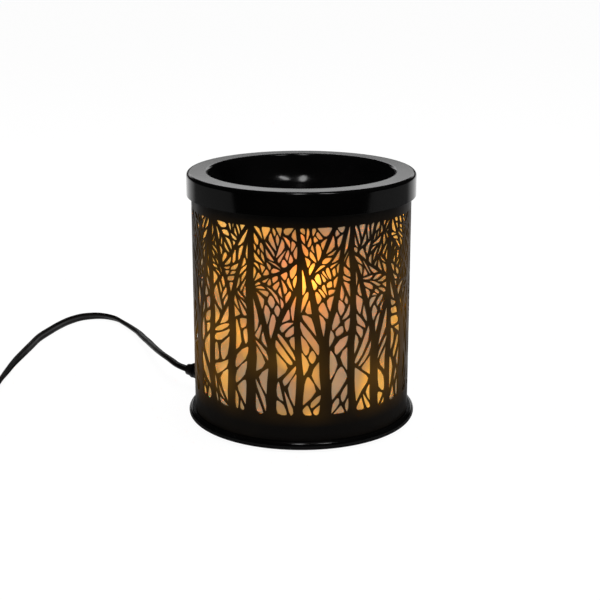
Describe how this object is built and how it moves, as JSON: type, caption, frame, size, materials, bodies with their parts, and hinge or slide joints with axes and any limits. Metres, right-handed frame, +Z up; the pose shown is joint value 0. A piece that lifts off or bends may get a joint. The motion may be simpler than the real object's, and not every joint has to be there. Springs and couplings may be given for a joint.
{
  "type": "plug-in wax warmer",
  "caption": "Round wax warmer: cut-out forest sleeve over a frosted glass cylinder and a bulb, lift-off dish on top, flat cord with rocker switch and plug.",
  "frame": {"origin": "centre of the underside, on the surface that the rubber feet stand on", "axes": "+Z up along the sleeve's axis, -Y to the front of the picture, the cord leaves towards -X and a little to the back"},
  "size_m": [0.3329, 0.273, 0.1335],
  "materials": {
    "gloss_black_paint": "gloss black enamel on cast aluminium and sheet steel",
    "satin_black_paint": "satin black powder coat on sheet steel",
    "bronze_paint": "matte dark bronze powder coat on laser-cut sheet steel",
    "frosted_glass": "acid-frosted warm white",
    "clear_glass": "clear blown glass",
    "silicone": "translucent white silicone",
    "zinc_steel": "zinc plated",
    "black_rubber": "moulded matte",
    "porcelain": "white glaze",
    "brass": "stamped, bright",
    "glass_insulator": "black vitrite with a solder dot",
    "tungsten": "coiled wire, glowing",
    "black_pvc": "flexible PVC, slight sheen",
    "black_plastic": "moulded phenolic, satin gloss"
  },
  "bodies": {
    "stand": {"seat_ring": "bronze_paint", "sleeve": "bronze_paint", "diffuser": "frosted_glass", "upper_gasket": "silicone", "lower_gasket": "silicone", "base_pan": "gloss_black_paint", "bottom_cover": "satin_black_paint", "cover_posts": "zinc_steel", "cover_screws": "zinc_steel", "rubber_feet": "black_rubber", "lamp_holder": "porcelain", "holder_screws": "zinc_steel", "holder_nuts": "zinc_steel", "socket_shell": "brass", "socket_contact": "brass", "bulb_cap": "brass", "bulb_contact": "glass_insulator", "bulb_glass": "clear_glass", "bulb_stem": "clear_glass", "filament": "tungsten", "lead_wires": "black_pvc", "strain_relief": "black_pvc", "cord_run": "black_pvc", "switch_lower_shell": "black_plastic", "switch_upper_shell": "black_plastic", "switch_screws": "zinc_steel", "switch_terminals": "brass", "cord_link": "black_pvc", "cord_coil": "black_pvc", "coil_tie": "black_pvc", "cord_tail": "black_pvc", "plug_body": "black_pvc", "plug_blades": "brass"},
    "dish": {"dish": "gloss_black_paint"},
    "rocker": {"switch_rocker": "black_plastic"}
  },
  "joints": [
    {"name": "dish_lift", "type": "slide", "parent": "stand", "child": "dish", "axis": [0, 0, 1], "range_m": [0, 0.045]},
    {"name": "rocker_tilt", "type": "hinge", "parent": "stand", "child": "rocker", "pos_m": [-0.176, -0.038, 0.011], "axis": [1, 0, 0], "range_deg": [0, 18]}
  ]
}
